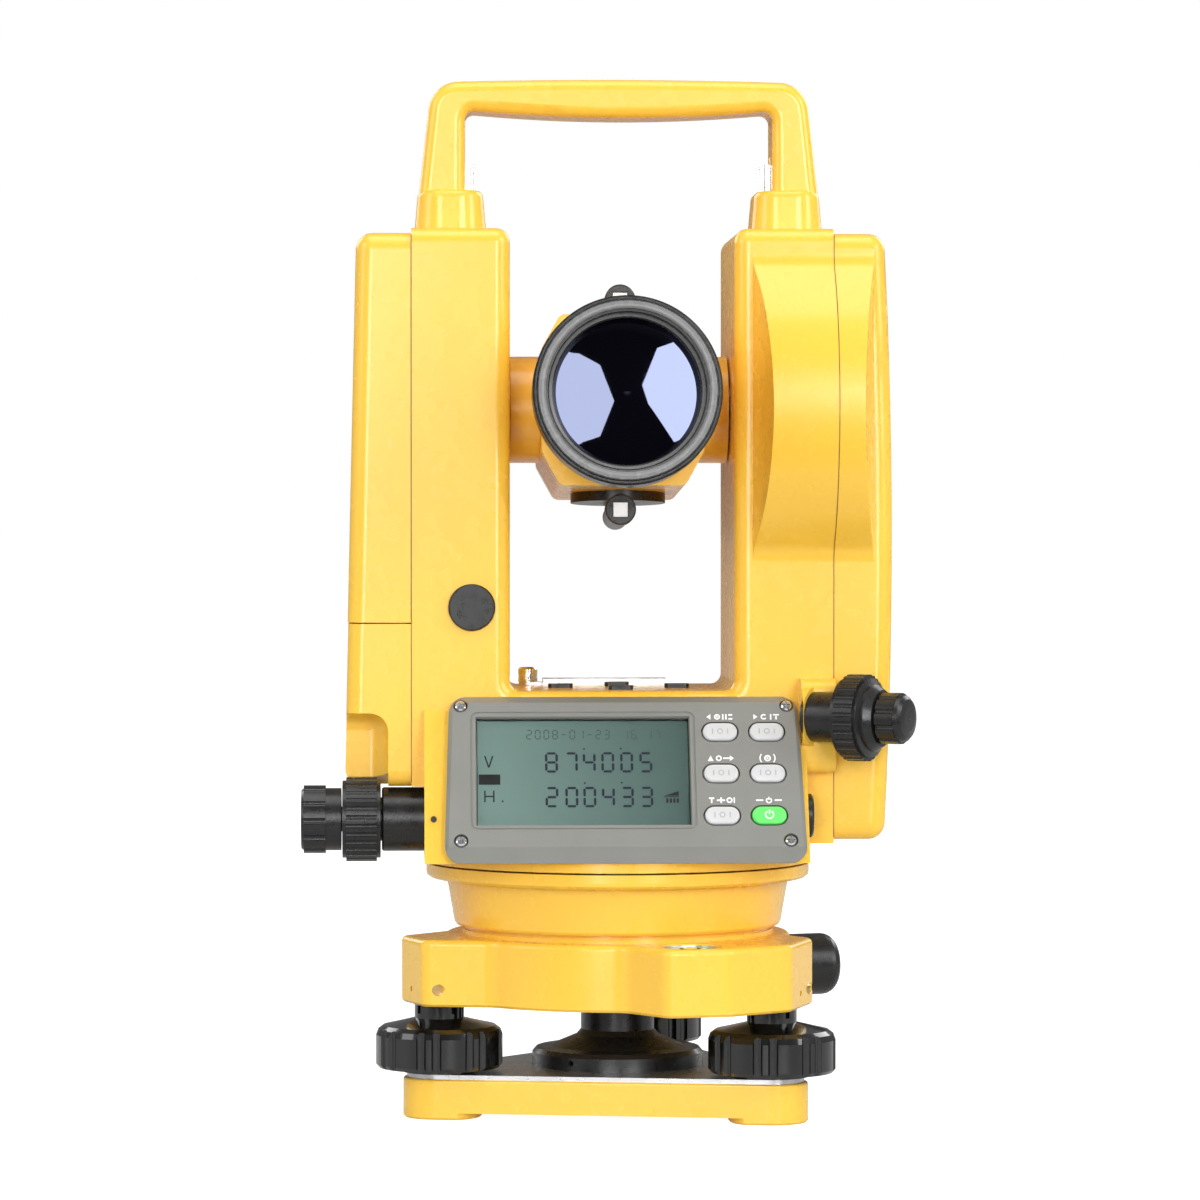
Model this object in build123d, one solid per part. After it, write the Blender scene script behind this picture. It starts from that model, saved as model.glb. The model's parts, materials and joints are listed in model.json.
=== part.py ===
from build123d import *
import math
import os

# Electronic theodolite: three-screw tribrach, alidade with two standards, tilting telescope.
# Millimetres, +Z up, display and objective towards -Y. The origin is on the tripod thread's
# axis in the plane of the three feet.

os.makedirs("parts", exist_ok=True)

# Whole instrument
TRIBRACH_TURN = -10.0
TRUNNION_HEIGHT = 228.8
TELESCOPE_TILT = 3.5
RUNNING_FIT = 0.05

# Tribrach
FOOT_ANGLES = {"right": -30, "rear": 90, "left": 210}
FOOT_CIRCLE = 62.4
FOOT_PAD_RADIUS = 14.0
PLATE_CORNER = 11.6
PLATE_BOTTOM = 2.2
PLATE_TOP = 13.0
SPRING_TOP = 14.4
THREAD_RADIUS = 7.94
INSERT_RADIUS = 15.0
SIGHT_HOLE = 9.5
DISC_RADIUS = 28.0
KNOB_RADIUS = 20.5
SPINDLE_RADIUS = 4.0
PIVOT_RADIUS = 3.6
BODY_BOTTOM = 36.6
BODY_TOP = 58.0
HUB_RADIUS = 56.5
BUSH_RADIUS = 8.0
BUSH_TOP = 54.0
VIAL_CIRCLE = 64.0
VIAL_ANGLE = -61.5
PLUMMET_ANGLE = 30.0
PLUMMET_HEIGHT = 44.6

# Vertical axis
GAP_BELOW = 80.7
GAP_ABOVE = 81.3
RIM_RADIUS = 62.7
SLEEVE_RADIUS = 16.0
AXIS_RADIUS = 10.0
CIRCLE_RADIUS = 39.5

# Alidade
STANDARD_DEPTH = 38.0
STANDARD_TOP = 286.3
STANDARD_LEFT = -67.6
STANDARD_RIGHT = 67.8
BAY_HALF = 36.0
SHELF = 138.0
WALL = 5.0
DRUM_RADIUS = 59.5
COVER_BOTTOM = 90.0
COVER_TOP = 284.7
CAP_HEIGHT = 164.85
LOWER_LEFT = -63.5
LOWER_RIGHT = 58.3
LOWER_BOTTOM = 84.5
BATTERY_BOTTOM = 160.0
LEFT_COVER_BOTTOM = 107.5

# Display panel, measured in its own sloping plane
PANEL_WIDTH = 112.0
PANEL_LOW = (-66.0, 90.0)
PANEL_HIGH = (-44.0, 135.7)
PANEL_THICK = 5.0
LCD_CENTRE = (-13.2, 0.7)
LCD_SIZE = (67.0, 36.0)
KEY_COLUMNS = (30.5, 45.4)
KEY_ROWS = (13.9, -0.4, -14.8)
KEY_SIZE = (11.0, 6.0)

# Telescope, measured forwards from the trunnion axis
OBJECTIVE_RADIUS = 29.8
OBJECTIVE_FRONT = 77.0
GLASS_RADIUS = 23.2
TRUNNION_BOSS = 17.4
AXLE_RADIUS = 9.0
BEARING_RADIUS = 15.0
VERTICAL_CIRCLE_RADIUS = 35.5
SIGHT_OFFSET = 34.0


def span(x, y, z):
    """Block between the two ends given on each axis."""
    centre = ((x[0] + x[1]) / 2, (y[0] + y[1]) / 2, (z[0] + z[1]) / 2)
    return Pos(*centre) * Box(x[1] - x[0], y[1] - y[0], z[1] - z[0])


def rod(radius, low, high, at=(0, 0)):
    """Cylinder along Z between two heights."""
    return Pos(at[0], at[1], (low + high) / 2) * Cylinder(radius, high - low)


def turned(*points):
    """Solid turned about Z from (radius, height) corners."""
    return revolve(Plane.XZ * make_face(Polyline(*points, close=True)), Axis.Z)


def slab(outline, low, high):
    """Flat outline raised between two heights."""
    return Pos(0, 0, low) * extrude(outline, high - low)


def across(points, left, right):
    """Outline of (Y, Z) corners run along X."""
    face = Plane.YZ * make_face(Polyline(*points, close=True))
    return Pos(left, 0, 0) * extrude(face, right - left)


def through(points, front, back):
    """Outline of (X, Z) corners run along Y."""
    face = Plane.XZ * make_face(Polyline(*points, close=True))
    return Pos(0, back, 0) * extrude(face, back - front)


def fluted(radius, count, depth, cutter, low, high):
    """Round grip with equal flutes down its side."""
    ring = PolarLocations(radius + cutter - depth, count)
    outline = Circle(radius) - [place * Circle(cutter) for place in ring]
    return slab(outline, low, high)


def polar(radius, angle):
    """Point at a radius and an angle in degrees."""
    turn = math.radians(angle)
    return (radius * math.cos(turn), radius * math.sin(turn))


def save(name, shape):
    """Write one named piece."""
    shape.label = name
    export_step(shape, "parts/" + name + ".step")


# Places that pieces are built in: +Z of each is the direction the piece runs.
def along_x(x, y, z):
    """Place whose +Z runs along +X."""
    return Pos(x, y, z) * Rot(0, 90, 0)


def along_left(x, y, z):
    """Place whose +Z runs along -X."""
    return Pos(x, y, z) * Rot(0, -90, 0)


tribrach = Rot(0, 0, TRIBRACH_TURN)
plummet = tribrach * Rot(0, 0, PLUMMET_ANGLE) * Pos(0, 0, PLUMMET_HEIGHT) * Rot(0, 90, 0)
telescope = Pos(0, 0, TRUNNION_HEIGHT) * Rot(-TELESCOPE_TILT, 0, 0)
forwards = telescope * Rot(90, 0, 0)
trunnion_right = Pos(0, 0, TRUNNION_HEIGHT) * Rot(0, 90, 0)

panel_rise = (PANEL_HIGH[0] - PANEL_LOW[0], PANEL_HIGH[1] - PANEL_LOW[1])
panel_length = math.hypot(*panel_rise)
panel_normal = (0, -panel_rise[1] / panel_length, panel_rise[0] / panel_length)
panel_middle = (0, (PANEL_LOW[0] + PANEL_HIGH[0]) / 2, (PANEL_LOW[1] + PANEL_HIGH[1]) / 2)
panel = Plane(origin=panel_middle, x_dir=(1, 0, 0), z_dir=panel_normal).location

TANGENT_ANGLE = -30.0
upright_tangent = Pos(61, -45.5, 130) * Rot(0, 0, TANGENT_ANGLE) * Rot(0, 90, 0)
level_tangent = along_left(-60.5, -30, 96.7)
port_place = along_x(LOWER_RIGHT, -47, 98.5)


# --- Tribrach base -----------------------------------------------------------------
def triangle_outline(corner):
    """Rounded triangle round the three feet."""
    corners = [Pos(*polar(FOOT_CIRCLE, a)) * Circle(corner) for a in FOOT_ANGLES.values()]
    return make_hull((Sketch() + corners).edges())


def base_plate():
    """Triangular foot plate with three pads and sockets for the screw pivots."""
    body = slab(triangle_outline(PLATE_CORNER), PLATE_BOTTOM, PLATE_TOP)
    body = fillet(body.edges().group_by(Axis.Z)[-1], 0.8)
    body -= rod(INSERT_RADIUS, 0, PLATE_TOP)
    for angle in FOOT_ANGLES.values():
        at = polar(FOOT_CIRCLE, angle)
        pad = slab(triangle_outline(PLATE_CORNER) & Pos(*at) * Circle(FOOT_PAD_RADIUS), 0, 3)
        body += chamfer(pad.edges().group_by(Axis.Z)[0], 0.6)
        body -= rod(PIVOT_RADIUS + RUNNING_FIT, 6.0, PLATE_TOP, at)
    return body


def spring_plate():
    """Thin steel plate that holds the screw pivots down."""
    body = slab(triangle_outline(PLATE_CORNER - 1.2), PLATE_TOP, SPRING_TOP)
    body -= rod(DISC_RADIUS - 6, PLATE_TOP, SPRING_TOP)
    for angle in FOOT_ANGLES.values():
        at = polar(FOOT_CIRCLE, angle)
        body -= rod(PIVOT_RADIUS + RUNNING_FIT, PLATE_TOP, SPRING_TOP, at)
    return body


def thread_insert():
    """Steel nut for the tripod screw, with a flange under the centre disc."""
    return turned(
        (THREAD_RADIUS, 0), (INSERT_RADIUS, 0), (INSERT_RADIUS, PLATE_TOP),
        (DISC_RADIUS - 6, PLATE_TOP), (DISC_RADIUS - 6, SPRING_TOP), (THREAD_RADIUS, SPRING_TOP),
    )


def centre_disc():
    """Turned boss that joins the foot plate to the tribrach body."""
    body = turned(
        (SIGHT_HOLE, SPRING_TOP), (DISC_RADIUS, SPRING_TOP), (DISC_RADIUS, 18.6),
        (DISC_RADIUS - 1.2, 20), (22, 20.6), (13.5, 24.2), (12, 26), (12, BODY_BOTTOM),
        (SIGHT_HOLE, BODY_BOTTOM),
    )
    side = Rot(0, 0, 235) * along_x(DISC_RADIUS - 3, 0, 16.8)
    return body - side * Cylinder(0.9, 10)


def foot_screw():
    """Levelling screw: pivot, washer, fluted knob, slotted collar and spindle."""
    knob = turned(
        (0, 16), (19.4, 16), (KNOB_RADIUS, 17.2), (KNOB_RADIUS, 26.6), (19.8, 28.4),
        (18.2, 29.6), (15, 30.3), (BUSH_RADIUS, 32), (BUSH_RADIUS, 36.1), (0, 36.1),
    )
    grooves = []
    for start in range(0, 360, 45):
        for step in (-7, 7):
            grooves.append(Pos(*polar(KNOB_RADIUS + 0.5, start + step)) * Circle(1.7))
    knob -= slab(Sketch() + grooves, 16, 29)
    for turn in (45, 135):
        slot = Rot(0, 0, turn) * span((-9, 9), (-0.8, 0.8), (33.6, 36.1))
        knob -= slot - rod(BUSH_RADIUS - 2, 33, 37)
    washer = rod(12, SPRING_TOP + 0.2, 16)
    pivot = rod(PIVOT_RADIUS, 6.6, 16)
    spindle = rod(SPINDLE_RADIUS, 36, BUSH_TOP - 1.5)
    return knob + washer + pivot + spindle


def lobe(corners, radius):
    """Arm of the tribrach body from the hub out to rounded corners."""
    circles = [Pos(*corner) * Circle(radius) for corner in corners]
    return make_hull((Sketch() + circles).edges())


def tribrach_outline():
    """Hub with two plain arms and one wide arm that also carries the level."""
    plain = [(68, -8.2), (68, 8.2), (44, -22), (44, 22)]
    outline = Circle(HUB_RADIUS)
    for name in ("left", "rear"):
        outline += Rot(0, 0, FOOT_ANGLES[name]) * lobe(plain, 4)
    wide = [polar(63.8, -17.5), polar(71.5, -37), polar(72.5, -55), polar(70.5, -68)]
    outline += lobe(wide + [polar(40, 5), polar(40, -90)], 5)
    return offset(offset(outline, 9, kind=Kind.ARC), -9, kind=Kind.ARC)


def set_screw_places():
    """Where each clamping screw enters the side of its arm."""
    return [
        tribrach * Rot(0, 0, angle) * Pos(67.5, 0, 42) * Rot(-90 * side, 0, 0)
        for angle, side in ((210, 1), (-30, 1), (90, -1))
    ]


def tribrach_body():
    """Cast body over the foot screws."""
    body = slab(tribrach_outline(), BODY_BOTTOM, BODY_TOP)
    body = fillet(body.edges().group_by(Axis.Z)[-1], 1.8)
    body = chamfer(body.edges().group_by(Axis.Z)[0], 0.8)
    for angle in FOOT_ANGLES.values():
        body -= rod(BUSH_RADIUS, BODY_BOTTOM, BUSH_TOP, polar(FOOT_CIRCLE, angle))
    for angle in (-28, 210):
        place = Rot(0, 0, angle) * along_x(66, 0, 41.5)
        body -= place * rod(0.9, 0, 12)
    body -= rod(10, 49, BODY_TOP, polar(VIAL_CIRCLE, VIAL_ANGLE))
    body -= rod(SIGHT_HOLE, BODY_BOTTOM, 53)
    body -= rod(SLEEVE_RADIUS, 53, BODY_TOP)
    body = tribrach * body
    body -= plummet * rod(7.5, 0, 70)
    body -= plummet * rod(10, 55.5, 70)
    for place in set_screw_places():
        body -= place * rod(1.9, 3.5, 24)
    return body


def set_screws():
    """Slotted screws that take up the foot screw play."""
    blank = rod(1.9, 7.5, 12) - span((-2, 2), (-0.3, 0.3), (11.3, 13))
    return Compound(children=[place * blank for place in set_screw_places()])


def foot_bushes():
    """Threaded bushes in the three arms."""
    blank = rod(BUSH_RADIUS, BODY_BOTTOM, BUSH_TOP)
    blank -= rod(SPINDLE_RADIUS + RUNNING_FIT, BODY_BOTTOM, BUSH_TOP - 1)
    places = [tribrach * Pos(*polar(FOOT_CIRCLE, a)) for a in FOOT_ANGLES.values()]
    return Compound(children=[place * blank for place in places])


def level_housing():
    """Cup of the circular level."""
    cup = turned((0, 49), (10, 49), (10, 57.6), (8.7, 57.6), (8.7, 51), (0, 51))
    return tribrach * Pos(*polar(VIAL_CIRCLE, VIAL_ANGLE)) * cup


def level_vial():
    """Glass of the circular level."""
    glass = turned((0, 51), (8.7, 51), (8.7, 56.4), (7.8, 57), (4, 57.3), (0, 57.4))
    return tribrach * Pos(*polar(VIAL_CIRCLE, VIAL_ANGLE)) * glass


def plummet_barrel():
    """Fixed tube of the optical plummet."""
    tube = turned(
        (6, 4.8), (7.5, 4.8), (7.5, 55.5), (10, 55.5), (10, 61.6), (6.5, 61.6),
        (6.5, 48), (6, 48),
    )
    return plummet * tube


def plummet_prism():
    """Right-angle prism over the sight hole."""
    side = 4.4
    wedge = through([(-side, -side), (side, -side), (side, side)], -side, side)
    return tribrach * Rot(0, 0, PLUMMET_ANGLE) * Pos(0, 0, PLUMMET_HEIGHT) * wedge


def plummet_eyepiece():
    """Focusing eyepiece of the plummet with its lens."""
    grip = turned(
        (0, 62), (9.9, 62), (10.2, 62.5), (10.2, 73.2), (10, 74.6), (9.4, 75.9), (8.5, 76.8),
        (7.4, 77.2), (5.2, 74.6), (0, 74.2),
    )
    grip += rod(6.5 - RUNNING_FIT, 50, 62)
    grip -= rod(4.6, 50, 70)
    return plummet * grip


# --- Vertical axis -----------------------------------------------------------------
def circle_housing():
    """Round case of the horizontal circle."""
    return turned(
        (SLEEVE_RADIUS, BODY_TOP), (51, BODY_TOP), (51, 59.3), (50.2, 59.3), (50.2, 60.7),
        (52.8, 60.7), (53.5, 61.6), (55.9, 75.2), (58, 76), (61.4, 76.2), (62.5, 77),
        (RIM_RADIUS, 78), (RIM_RADIUS, GAP_BELOW), (58.6, GAP_BELOW), (58.6, 79),
        (52.6, 75.8), (50.4, 63), (SLEEVE_RADIUS, 63),
    )


def axis_sleeve():
    """Steel socket of the vertical axis."""
    return turned(
        (AXIS_RADIUS + RUNNING_FIT, 53), (SLEEVE_RADIUS, 53), (SLEEVE_RADIUS, 86),
        (AXIS_RADIUS + RUNNING_FIT, 86),
    )


def horizontal_circle():
    """Glass circle on its hub round the socket."""
    disc = turned(
        (SLEEVE_RADIUS, 66), (24, 66), (24, 70), (CIRCLE_RADIUS, 70), (CIRCLE_RADIUS, 73),
        (SLEEVE_RADIUS, 73),
    )
    return disc


def vertical_spindle():
    """Turned axis with the flange that carries the alidade."""
    return turned((0, 54), (AXIS_RADIUS, 54), (AXIS_RADIUS, 87), (24, 87), (24, 94), (0, 94))


# --- Alidade -----------------------------------------------------------------------
def panel_block(x, v, depth):
    """Block in the display panel's plane; depth is measured outwards from its face."""
    return panel * span(x, v, depth)


def yoke():
    """The two standards and the shelf between them, one casting."""
    outline = Polyline(
        (STANDARD_LEFT, LEFT_COVER_BOTTOM), (LOWER_LEFT + 2, LEFT_COVER_BOTTOM),
        (LOWER_LEFT + 2, 89), (STANDARD_RIGHT, 89), (STANDARD_RIGHT, STANDARD_TOP),
        (BAY_HALF, STANDARD_TOP), (BAY_HALF, SHELF), (-BAY_HALF, SHELF),
        (-BAY_HALF, STANDARD_TOP), (STANDARD_LEFT, STANDARD_TOP), close=True,
    )
    face = make_face(outline)
    bay_corners = [v for v in face.vertices() if abs(abs(v.X) - BAY_HALF) < 0.1]
    face = fillet([v for v in bay_corners if v.Y < SHELF + 1], 3.5)
    tops = [v for v in face.vertices() if abs(abs(v.X) - BAY_HALF) < 0.1 and v.Y > SHELF + 90]
    face = fillet(tops, 4.5)
    body = Pos(0, STANDARD_DEPTH, 0) * extrude(Plane.XZ * face, 2 * STANDARD_DEPTH)
    rounded = [
        edge for edge in body.edges()
        if abs(abs(edge.center().Y) - STANDARD_DEPTH) < 0.01
        and edge.center().Z > SHELF - 1 and abs(edge.center().X) < 67
    ]
    return fillet(rounded, 5.0)


def circle_drum():
    """Drum round the vertical circle, blended into the standard above and below."""
    side = Circle(DRUM_RADIUS) + Rectangle(102, 2 * STANDARD_DEPTH)
    corners = [v for v in side.vertices() if abs(v.Y) > STANDARD_DEPTH - 0.1 and abs(v.X) < 50]
    half = [(41.8, STANDARD_DEPTH), (46.9, DRUM_RADIUS), (76, DRUM_RADIUS), (80.6, STANDARD_DEPTH)]
    plan = make_face(Polyline(*half, *[(x, -y) for x, y in reversed(half)], close=True))
    return trunnion_right * slab(fillet(corners, 8), 40, 84) & slab(plan, 100, 300)


def alidade_frame():
    """Casting that carries every piece of the alidade."""
    body = yoke()
    lower = span((LOWER_LEFT, LOWER_RIGHT), (-68, 50), (LOWER_BOTTOM, SHELF - 6))
    lower -= panel_block((-90, 90), (-70, 70), (-PANEL_THICK, 60))
    uprights = lower.edges().filter_by(Axis.Z)
    lower = fillet(uprights.group_by(Axis.Y)[-1], 12)
    slope = across([(36, SHELF), (60, SHELF), (60, 112)], -70, 70)
    body += lower - slope
    body += rod(RIM_RADIUS, GAP_ABOVE, 92)
    body -= panel_block((-56.6, 56.6), (-40, 28.5), (-PANEL_THICK, 20))
    bulge = span((56.8, STANDARD_RIGHT), (-46, -30), (112, 142))
    bulge = fillet(bulge.edges().filter_by(Axis.X).group_by(Axis.Y)[0], 4)
    body += bulge
    body += upright_tangent * rod(9.4, -12, 0) & span((56.8, 90), (-70, -30), (112, 142))
    body += circle_drum() & span((0, STANDARD_RIGHT), (-80, 80), (100, STANDARD_TOP))

    body -= panel_block((-53, 53), (-22.5, 22.5), (-20, -PANEL_THICK))
    body -= span((-54, 54), (-37, 35), (97, SHELF - WALL - 1.5))
    body -= span((-62, -42), (-31, 31), (115, 277))
    body -= span((42, STANDARD_RIGHT), (-32, 32), (97, 277))
    body -= trunnion_right * rod(DRUM_RADIUS - 4, 48, STANDARD_RIGHT)
    body -= rod(24, GAP_ABOVE, 97)
    for side in (-1, 1):
        boss = trunnion_right * Rot(0, 0 if side > 0 else 180, 0) * rod(20, 41.5, 50)
        body += boss
        bore = trunnion_right * Rot(0, 0 if side > 0 else 180, 0)
        body -= bore * rod(BEARING_RADIUS, 37.5, 60)
        body -= bore * rod(11, 35, 38)
    for x in (-49.5, 49.5):
        body -= rod(2.5, 270, 290, (x, 0))
    body -= level_tangent * rod(10.25, -12, 4)
    body -= span((-24, 17), (15.5, 26.5), (SHELF - 4, SHELF + 1))
    body -= upright_tangent * rod(8, -1.5, 12)
    for spot in bezel_screw_places():
        body -= panel * Pos(*spot) * rod(1.25, -8, 0)
    body -= port_place * rod(6.2, -6, 3)
    body -= Pos(-48.3, -STANDARD_DEPTH, CAP_HEIGHT) * Rot(90, 0, 0) * rod(7.5, -1.5, 5)
    body -= Pos(-60.6, -60, 98.3) * Rot(90, 0, 0) * rod(1, -6, 5)
    return body


def right_cover():
    """Outer cover of the right standard with the circle drum."""
    low = (84.5, COVER_BOTTOM)
    high = (84.3, COVER_TOP)
    corners = Polyline(high, (STANDARD_RIGHT, COVER_TOP), (STANDARD_RIGHT, COVER_BOTTOM), low)
    face = make_face(corners.edges() + ThreePointArc(low, (87, 188), high).edges())
    shell = Pos(0, STANDARD_DEPTH, 0) * extrude(Plane.XZ * face, 2 * STANDARD_DEPTH)
    outer = [e for e in shell.edges() if e.center().X > STANDARD_RIGHT + 1]
    shell = fillet(outer, 5.5)
    shell += circle_drum() & span((STANDARD_RIGHT, 90), (-80, 80), (100, COVER_TOP))
    shell -= span((STANDARD_RIGHT, 82), (-34, 34), (94, 280.5))
    shell -= trunnion_right * rod(DRUM_RADIUS - 4, STANDARD_RIGHT, 75)
    return shell


def left_shell(low, high):
    """Outer shape of the battery side between two heights."""
    def edge(z):
        return -89.0 + 4.0 * (z - LEFT_COVER_BOTTOM) / (COVER_TOP - LEFT_COVER_BOTTOM)
    return through(
        [(STANDARD_LEFT, low), (edge(low), low), (edge(high), high), (STANDARD_LEFT, high)],
        -STANDARD_DEPTH, STANDARD_DEPTH,
    )


def left_cover():
    """Fixed cover below the battery, scooped round the tangent screw."""
    shell = left_shell(LEFT_COVER_BOTTOM, BATTERY_BOTTOM - 0.4)
    outer = [
        e for e in shell.edges()
        if e.center().X < STANDARD_LEFT - 1 and e.center().Z < BATTERY_BOTTOM - 1
    ]
    shell = fillet(outer, 5)
    scoop = span((-95, -75), (-60, -24), (95, 131))
    inner = [
        e for e in scoop.edges()
        if (e.center().X > -76) + (e.center().Y > -25) + (e.center().Z > 130) > 1
    ]
    shell -= fillet(inner, 6) + level_tangent * rod(14.6, 14.5, 40)
    shell -= span((-84.5, STANDARD_LEFT), (4, 33), (116, BATTERY_BOTTOM - 4))
    return shell


def battery_case():
    """Battery box that closes the left standard."""
    shell = Pos(-0.2, 0, 0) * left_shell(BATTERY_BOTTOM, COVER_TOP)
    outer = [
        e for e in shell.edges()
        if e.center().X < STANDARD_LEFT - 1 and e.center().Z > BATTERY_BOTTOM + 1
    ]
    shell = fillet(outer, 5.5)
    shell -= span((-83.4, STANDARD_LEFT - 3), (-33, 33), (164, 279))
    shell -= span((-75, STANDARD_LEFT), (-9, 9), (274.6, 290))
    return shell


def battery_cells():
    """Four cells in the battery box."""
    places = [Pos(-77, y, z) for y in (-12, 12) for z in (193, 246)]
    return Compound(children=[place * Cylinder(6.2, 50) for place in places])


def battery_latch():
    """Spring catch at the top of the battery."""
    tab = span((-74.6, -68.2), (-8.6, 8.6), (277, 284.2))
    return fillet(tab.edges().filter_by(Axis.Y).group_by(Axis.Z)[-1], 1.2)


def carry_handle():
    """Carrying handle with two feet bolted to the standards."""
    outer = make_face(
        Polyline((-61, 335), (-66.4, 286), (66.4, 286), (61, 335)).edges()
        + ThreePointArc((-61, 335), (0, 336), (61, 335)).edges()
    )
    outer = fillet([v for v in outer.vertices() if v.Y > 300], 10)
    inner = make_face(
        Polyline((-50, 325.9), (-50, 280), (50, 280), (50, 325.9)).edges()
        + ThreePointArc((-50, 325.9), (0, 323.5), (50, 325.9)).edges()
    )
    inner = fillet([v for v in inner.vertices() if v.Y > 300], 3)
    bar = Pos(0, 12, 0) * extrude(Plane.XZ * (outer - inner), 24)
    rounded = [
        e for e in bar.edges()
        if abs(abs(e.center().Y) - 12) < 0.01 and e.center().Z > 290
    ]
    bar = fillet(rounded, 3.6)
    for side in (-1, 1):
        plan = Pos(side * 54.8, 0) * RectangleRounded(23.4, 32, 9)
        foot = Pos(0, 0, STANDARD_TOP) * extrude(plan, 300 - STANDARD_TOP, taper=5)
        foot = fillet(foot.edges().group_by(Axis.Z)[-1], 2.5)
        bar += foot
        bar -= rod(4.5, 300, 312, (side * 49.5, 0))
        bar -= rod(2.5, 284, 302, (side * 49.5, 0))
    return bar - span((-80, 80), (-40, 40), (270, STANDARD_TOP))


def handle_screws():
    """Knurled screws that hold the handle."""
    blank = fluted(3.7, 24, 0.25, 0.35, 300, 308.8) + rod(2.5, 272, 300.5)
    blank -= rod(1.7, 306.8, 309)
    return Compound(children=[Pos(x, 0, 0) * blank for x in (-49.5, 49.5)])


def stadium(length, width):
    """Round-ended outline."""
    return RectangleRounded(length, width, width / 2 - 0.01)


def key_places():
    """Key centres in the panel plane, by name."""
    names = ("function_left", "function_right", "output", "light", "measure", "power")
    spots = [(x, v) for v in KEY_ROWS for x in KEY_COLUMNS]
    return dict(zip(names, spots))


def bezel_screw_places():
    """Corner screws in the panel plane."""
    return [(x, v) for x in (-52, 52) for v in (23.1, -23.2)]


def panel_back(z):
    """(Y, Z) point on the back of the bezel at a height."""
    slope = panel_rise[0] / panel_rise[1]
    return (PANEL_LOW[0] + (z - PANEL_LOW[1]) * slope - PANEL_THICK / panel_normal[1], z)


def bezel_outline():
    """Front view of the bezel, a little wider at its foot."""
    low = PANEL_WIDTH / 2 + 1.3
    high = PANEL_WIDTH / 2 - 0.4
    face = make_face(Polyline((-low, 84.6), (low, 84.6), (high, 136.2), (-high, 136.2), close=True))
    return fillet(face.vertices(), 5.5)


def bezel_bevel():
    """Block whose sides lean inwards to bevel the top and side edges of the bezel."""
    high = PANEL_WIDTH / 2 + 4.2
    top = panel_length / 2 + 4.8
    face = make_face(Polyline((-high - 3, -60), (high + 3, -60), (high, top), (-high, top), close=True))
    face = fillet(face.vertices().group_by(Axis.Y)[-1], 10)
    behind = panel * span((-80, 80), (-80, 80), (-20, -5.9))
    return panel * Pos(0, 0, -6) * extrude(face, 6, taper=45) + behind


def display_bezel():
    """Sloping front plate of the display."""
    profile = [PANEL_HIGH, PANEL_LOW, (-65.4, 84.8), panel_back(84.8), panel_back(136.2)]
    body = across(profile, -60, 60)
    body &= extrude(Plane.XZ * bezel_outline(), 100)
    body &= bezel_bevel()
    line = RectangleRounded(LCD_SIZE[0] + 4.4, LCD_SIZE[1] + 4.4, 2.4)
    line -= RectangleRounded(LCD_SIZE[0] + 3.4, LCD_SIZE[1] + 3.4, 2)
    body -= panel * Pos(*LCD_CENTRE, -0.3) * extrude(line, 1)
    opening = extrude(Rectangle(LCD_SIZE[0] + 0.4, LCD_SIZE[1] + 0.4), 5, taper=-20)
    body -= panel * Pos(*LCD_CENTRE, -1.2) * opening
    body -= panel * Pos(*LCD_CENTRE, -3) * extrude(RectangleRounded(*LCD_SIZE, 1.2), 8)
    pocket = (LCD_SIZE[0] + 1.2, LCD_SIZE[1] + 1.2)
    body -= panel * Pos(*LCD_CENTRE, -7.8) * extrude(Rectangle(*pocket), 6.8)
    for spot in key_places().values():
        hole = stadium(KEY_SIZE[0] + 1, KEY_SIZE[1] + 1)
        body -= panel * Pos(*spot, -6) * extrude(hole, 8)
        flange = stadium(KEY_SIZE[0] + 2.4, KEY_SIZE[1] + 2.4)
        body -= panel * Pos(*spot, -8) * extrude(flange, 4.6)
    for spot in bezel_screw_places():
        body -= panel * Pos(*spot) * (rod(2.3, -0.9, 1) + rod(1.25, -8, 1))
    return body


def lcd_window():
    """Clear window in the bezel."""
    size = (LCD_SIZE[0] + 1.2, LCD_SIZE[1] + 1.2)
    return panel * Pos(*LCD_CENTRE, -2.2) * extrude(Rectangle(*size), 1.2)


def lcd_module():
    """Display glass and its tray behind the window."""
    return panel * Pos(*LCD_CENTRE, -5.6) * extrude(Rectangle(LCD_SIZE[0], LCD_SIZE[1]), 3.2)


def circuit_board():
    """Board behind the display and keys."""
    return panel_block((-50, 50), (-20, 20), (-7.4, -5.8))


def bezel_screws():
    """Corner screws of the bezel."""
    blank = turned((0, -7), (1.25, -7), (1.25, -0.9), (1.7, -0.9), (1.7, -0.1), (1.2, 0.3), (0, 0.4))
    blank -= span((-1.3, 1.3), (-0.25, 0.25), (0, 1)) + span((-0.25, 0.25), (-1.3, 1.3), (0, 1))
    places = [panel * Pos(*spot) for spot in bezel_screw_places()]
    return Compound(children=[place * blank for place in places])


def key(spot):
    """One push key with its retaining flange."""
    cap = extrude(stadium(*KEY_SIZE), 5.2)
    cap = fillet(cap.edges().group_by(Axis.Z)[-1], 0.8)
    flange = extrude(stadium(KEY_SIZE[0] + 1.6, KEY_SIZE[1] + 1.6), 0.8)
    return panel * Pos(*spot, -4.5) * (cap + flange)


def data_port():
    """Round socket on the right of the lower body."""
    shell = turned(
        (0, -5), (6.2, -5), (6.2, 0), (7, 0), (7, 1.4), (6.4, 2), (5.4, 2), (5.4, -3), (0, -3),
    )
    pins = [Pos(*polar(3.2, a)) * rod(0.6, -3.5, 0.4) for a in range(0, 360, 72)]
    return port_place * (shell + pins + rod(1.4, -3.5, 1))


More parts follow.
